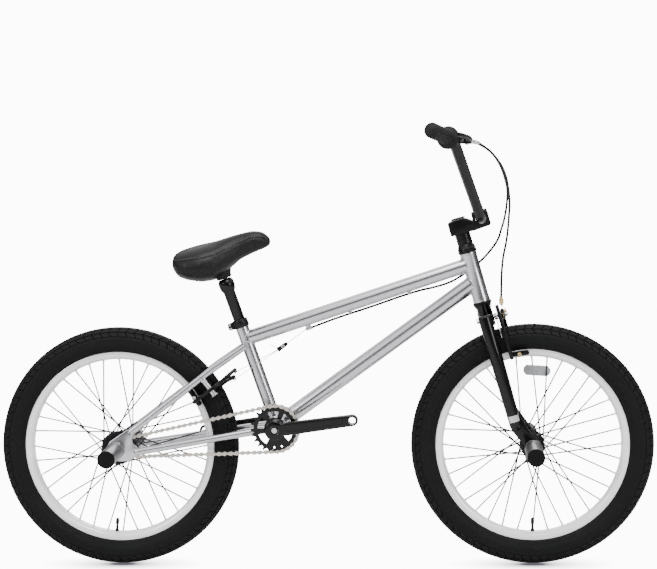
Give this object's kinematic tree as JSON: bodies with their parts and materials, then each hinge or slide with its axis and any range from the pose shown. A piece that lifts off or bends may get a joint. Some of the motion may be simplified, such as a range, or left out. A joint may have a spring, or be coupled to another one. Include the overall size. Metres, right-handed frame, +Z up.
{
  "type": "bmx bicycle",
  "caption": "Freestyle BMX bike with a raw steel frame, black fork, high-rise bars, spoked wheels, pegs, rim brakes and chain drive.",
  "frame": {"origin": "on the ground, midway between the two wheel axles, in the bike's middle plane", "axes": "+X forwards, +Y to the rider's left, +Z up; the chain side is -Y"},
  "size_m": [1.428, 0.7264, 0.9591],
  "materials": {
    "raw_steel": "clear-coated raw steel",
    "black_paint": "gloss black paint",
    "black_alloy": "black anodised",
    "polished_alloy": "polished",
    "tyre_rubber": "black rubber",
    "grip_rubber": "soft matt rubber",
    "saddle_cover": "black vinyl over foam",
    "spoke_steel": "drawn steel wire, grey",
    "chain_steel": "nickel-plated",
    "peg_steel": "grey steel, black ends",
    "wire_steel": "plated steel",
    "housing_black": "black plastic sheath"
  },
  "bodies": {
    "frame": {"head_tube": "raw_steel", "top_tube": "raw_steel", "down_tube": "raw_steel", "seat_tube": "raw_steel", "bb_shell": "raw_steel", "chainstay_right": "raw_steel", "chainstay_left": "raw_steel", "seatstay_right": "raw_steel", "seatstay_left": "raw_steel", "rear_dropout_right": "raw_steel", "rear_dropout_left": "raw_steel", "seat_clamp": "black_alloy", "headset_cup_upper": "black_alloy", "headset_cup_lower": "black_alloy", "rear_axle": "wire_steel", "rear_peg_right": "peg_steel", "rear_peg_left": "peg_steel", "chain": "chain_steel", "rear_housing": "housing_black"},
    "seat": {"seat_post": "black_paint", "saddle": "saddle_cover"},
    "steering": {"steerer": "black_paint", "fork_crown": "black_paint", "fork_leg_right": "black_paint", "fork_leg_left": "black_paint", "front_axle": "wire_steel", "front_peg_right": "peg_steel", "front_peg_left": "peg_steel", "headset_spacers": "black_alloy", "stem_body": "black_alloy", "stem_cap": "black_alloy", "handlebar": "black_paint", "grip_right": "grip_rubber", "grip_left": "grip_rubber", "lever_bracket_right": "black_alloy", "lever_bracket_left": "black_alloy", "front_housing": "housing_black", "caliper_bolt": "wire_steel"},
    "front_wheel": {"tyre_front": "tyre_rubber", "rim_front": "polished_alloy", "hub_front": "black_alloy", "spokes_front": "spoke_steel"},
    "rear_wheel": {"tyre_rear": "tyre_rubber", "rim_rear": "polished_alloy", "hub_rear": "black_alloy", "spokes_rear": "spoke_steel"},
    "crank": {"crank_spindle": "wire_steel", "crank_right": "black_paint", "crank_left": "black_paint", "sprocket": "black_alloy"},
    "driver": {"driver_cog": "black_alloy"},
    "brake_lever_right": {"brake_lever_right": "black_alloy"},
    "brake_lever_left": {"brake_lever_left": "black_alloy"},
    "caliper_arm_right": {"caliper_arm_right": "black_alloy"},
    "caliper_arm_left": {"caliper_arm_left": "black_alloy"},
    "ubrake_arm_right": {"ubrake_arm_right": "black_alloy"},
    "ubrake_arm_left": {"ubrake_arm_left": "black_alloy"},
    "hanger": {"straddle_hanger": "black_alloy", "straddle_wire": "wire_steel", "rear_wire": "wire_steel"}
  },
  "joints": [
    {"name": "seat_height", "type": "slide", "parent": "frame", "child": "seat", "axis": [-0.3206, 0, 0.9472], "range_m": [-0.05, 0.04]},
    {"name": "steering", "type": "hinge", "parent": "frame", "child": "steering", "pos_m": [0.33, 0, 0.628], "axis": [-0.2672, 0, 0.9636], "range_deg": [-75, 75], "deforming": ["rear_housing"]},
    {"name": "front_wheel", "type": "hinge", "parent": "steering", "child": "front_wheel", "pos_m": [0.451, 0, 0.263], "axis": [0, 1, 0], "continuous": true},
    {"name": "rear_wheel", "type": "hinge", "parent": "frame", "child": "rear_wheel", "pos_m": [-0.451, 0, 0.263], "axis": [0, 1, 0], "continuous": true},
    {"name": "crank", "type": "hinge", "parent": "frame", "child": "crank", "pos_m": [-0.104, 0, 0.306], "axis": [0, 1, 0], "continuous": true},
    {"name": "driver", "type": "hinge", "parent": "frame", "child": "driver", "pos_m": [-0.451, 0, 0.263], "axis": [0, 1, 0], "continuous": true},
    {"name": "brake_lever_right", "type": "hinge", "parent": "steering", "child": "brake_lever_right", "pos_m": [0.31292, -0.22092, 0.92327], "axis": [-0.0995, -0.0954, -0.9905], "range_deg": [0, 12]},
    {"name": "brake_lever_left", "type": "hinge", "parent": "steering", "child": "brake_lever_left", "pos_m": [0.31292, 0.22092, 0.92327], "axis": [0.0995, -0.0954, 0.9905], "range_deg": [0, 12]},
    {"name": "caliper_arm_right", "type": "hinge", "parent": "steering", "child": "caliper_arm_right", "pos_m": [0.35525, 0, 0.53694], "axis": [0.9636, 0, 0.2672], "range_deg": [0, 1.2]},
    {"name": "caliper_arm_left", "type": "hinge", "parent": "steering", "child": "caliper_arm_left", "pos_m": [0.35525, 0, 0.53694], "axis": [-0.9636, 0, -0.2672], "range_deg": [0, 1.2]},
    {"name": "ubrake_arm_right", "type": "hinge", "parent": "frame", "child": "ubrake_arm_right", "pos_m": [-0.2475, -0.0435, 0.3975], "axis": [0.5976, 0, -0.8018], "range_deg": [0, 2.4]},
    {"name": "ubrake_arm_left", "type": "hinge", "parent": "frame", "child": "ubrake_arm_left", "pos_m": [-0.2475, 0.0435, 0.3975], "axis": [-0.5976, 0, 0.8018], "range_deg": [0, 2.4]},
    {"name": "hanger", "type": "slide", "parent": "frame", "child": "hanger", "axis": [0.8113, 0, 0.5847], "range_m": [0, 0.0035], "deforming": ["rear_wire", "straddle_wire"]}
  ],
  "couplings": [
    {"joint": "driver", "follows": "crank", "ratio": 2.7778},
    {"joint": "caliper_arm_right", "follows": "brake_lever_left", "ratio": 0.1},
    {"joint": "caliper_arm_left", "follows": "brake_lever_left", "ratio": 0.1},
    {"joint": "ubrake_arm_right", "follows": "brake_lever_right", "ratio": 0.2},
    {"joint": "ubrake_arm_left", "follows": "brake_lever_right", "ratio": 0.2},
    {"joint": "hanger", "follows": "brake_lever_right", "m_per_rad": 0.015279}
  ]
}
